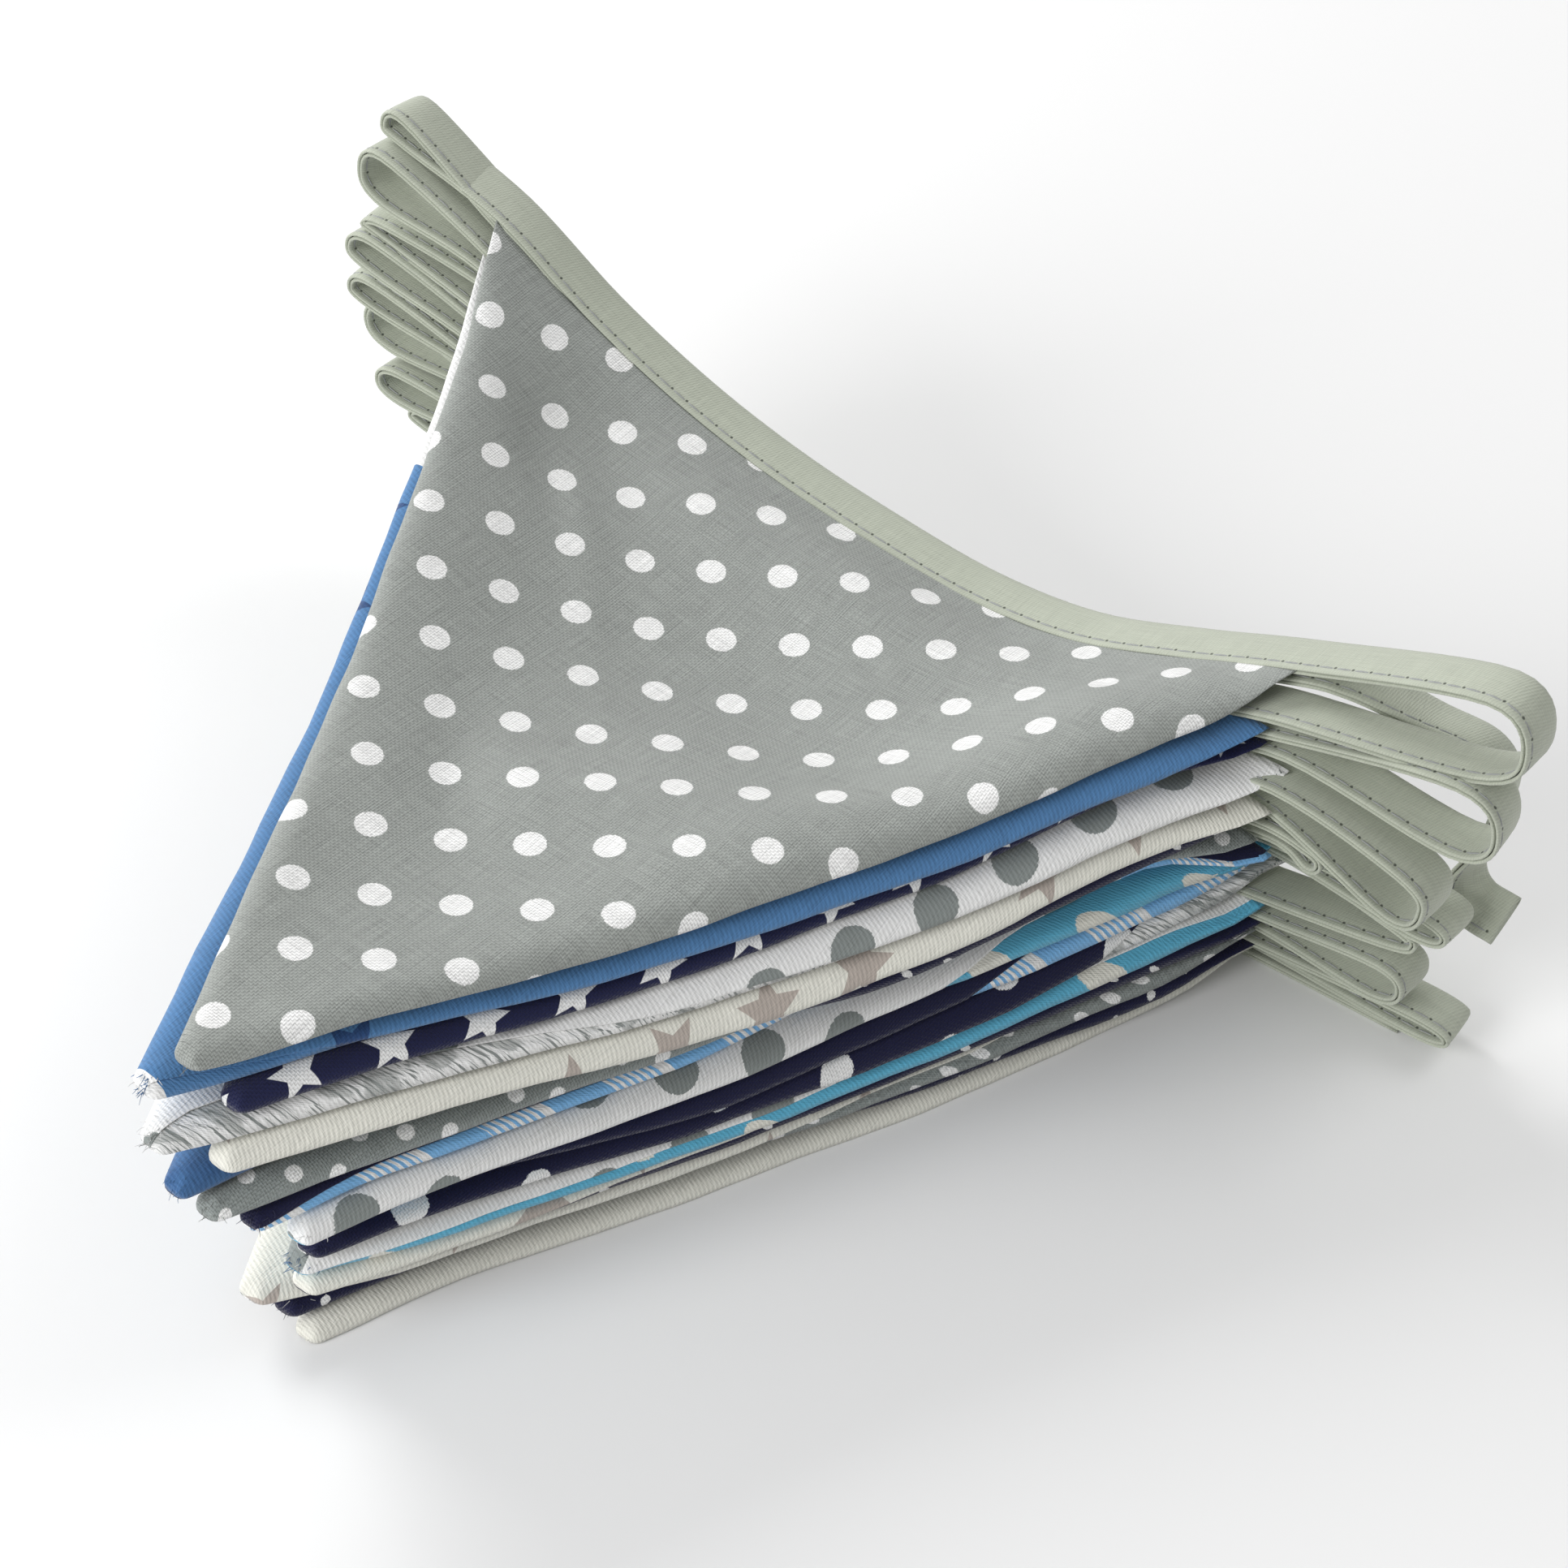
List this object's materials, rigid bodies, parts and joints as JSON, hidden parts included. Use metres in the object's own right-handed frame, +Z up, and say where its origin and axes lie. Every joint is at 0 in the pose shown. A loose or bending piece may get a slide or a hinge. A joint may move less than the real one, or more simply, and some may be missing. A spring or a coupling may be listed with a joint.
{
  "type": "fabric bunting",
  "caption": "Patterned triangular cloth flags on one long folded-tape band, folded flag on flag into a stack with the band looping out at both sides.",
  "frame": {"origin": "bottom centre of the bounding box of the folded stack, on the surface it rests on", "axes": "+X along the flags' top edges towards the free ends, +Y from the flags' tips towards the band, +Z up"},
  "size_m": [0.269, 0.2094, 0.1076],
  "materials": {
    "grey_dot": "plain-woven cotton, grey with white dots",
    "blue_star": "cotton twill, blue with navy stars and white patches",
    "navy_star": "plain-woven cotton, navy with white stars",
    "white_dot": "cotton, white with large grey dots",
    "sketch": "cotton, white with grey brush marks",
    "cream_star": "cotton, cream with taupe stars",
    "blue_plain": "cotton twill, mid blue",
    "navy_speck": "cotton, navy with white specks",
    "grey_spot": "cotton, grey with small white dots",
    "stripe": "cotton, light blue with white dashes",
    "turquoise": "cotton, turquoise",
    "navy_plain": "cotton, navy",
    "navy_dot": "cotton, navy with large white dots",
    "cream_plain": "cotton twill, cream",
    "sage_tape": "folded cotton bias tape, sage green, matt"
  },
  "bodies": {
    "root": {"flag_01_upper": "grey_dot", "flag_01_lower": "grey_dot", "flag_02_upper": "blue_star", "flag_02_lower": "blue_star", "flag_03_upper": "navy_star", "flag_03_lower": "navy_star", "flag_04_upper": "white_dot", "flag_04_lower": "sketch", "flag_05_upper": "cream_star", "flag_05_lower": "cream_star", "flag_06_upper": "blue_plain", "flag_06_lower": "navy_speck", "flag_07_upper": "grey_spot", "flag_07_lower": "grey_spot", "flag_08_upper": "stripe", "flag_08_lower": "turquoise", "flag_09_upper": "navy_plain", "flag_09_lower": "sketch", "flag_10_upper": "white_dot", "flag_10_lower": "white_dot", "flag_11_upper": "navy_dot", "flag_11_lower": "navy_dot", "flag_12_upper": "blue_plain", "flag_12_lower": "turquoise", "flag_13_upper": "white_dot", "flag_13_lower": "sketch", "flag_14_upper": "cream_plain", "flag_14_lower": "grey_spot", "flag_15_upper": "navy_speck", "flag_15_lower": "navy_speck", "flag_16_upper": "cream_plain", "flag_16_lower": "cream_plain", "tape_band": "sage_tape"}
  },
  "joints": []
}
